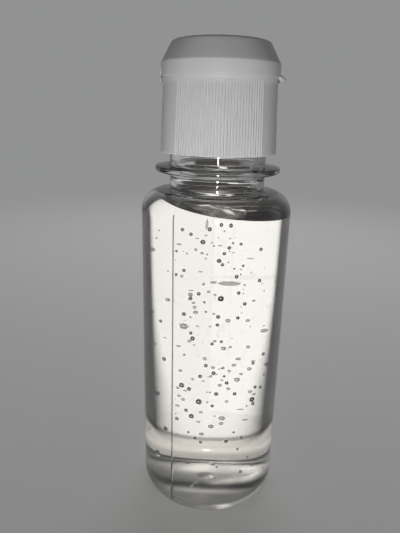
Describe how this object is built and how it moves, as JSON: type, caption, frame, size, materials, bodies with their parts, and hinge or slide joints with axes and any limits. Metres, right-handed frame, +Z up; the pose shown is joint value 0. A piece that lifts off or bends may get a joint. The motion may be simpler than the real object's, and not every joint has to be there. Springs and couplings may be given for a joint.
{
  "type": "flip-top squeeze bottle",
  "caption": "Clear round plastic bottle filled with gel, with a support ring on its neck and a white ribbed screw cap whose flip lid opens on a living hinge.",
  "frame": {"origin": "middle of the bottle's base, on the plane that it stands on", "axes": "+Z up along the bottle's axis, +X towards the lid's thumb tab, -X towards the living hinge, -Y the side that the picture shows"},
  "size_m": [0.038, 0.038, 0.121],
  "materials": {
    "clear_plastic": "clear glossy blow-moulded polyester",
    "gel": "clear gel with air bubbles",
    "liner_foam": "white polyethylene foam",
    "cap_plastic": "white satin polypropylene"
  },
  "bodies": {
    "bottle": {"bottle": "clear_plastic", "gel_fill": "gel"},
    "liner": {"sealing_liner": "liner_foam"},
    "cap": {"cap_base": "cap_plastic", "hinge_strap_front": "cap_plastic", "hinge_strap_back": "cap_plastic", "hinge_spring": "cap_plastic"},
    "lid": {"flip_lid": "cap_plastic"}
  },
  "joints": [
    {"name": "cap_lift", "type": "slide", "parent": "bottle", "child": "liner", "axis": [0, 0, 1], "range_m": [0, 0.0048]},
    {"name": "cap_turn", "type": "hinge", "parent": "liner", "child": "cap", "pos_m": [0, 0, 0.09595], "axis": [0, 0, 1], "range_deg": [0, 540]},
    {"name": "lid_flip", "type": "hinge", "parent": "cap", "child": "lid", "pos_m": [-0.01408, 0, 0.11305], "axis": [0, -1, 0], "range_deg": [0, 175], "deforming": ["hinge_strap_front", "hinge_strap_back", "hinge_spring"]}
  ],
  "couplings": [
    {"joint": "cap_lift", "follows": "cap_turn", "m_per_rad": 0.00050532}
  ]
}
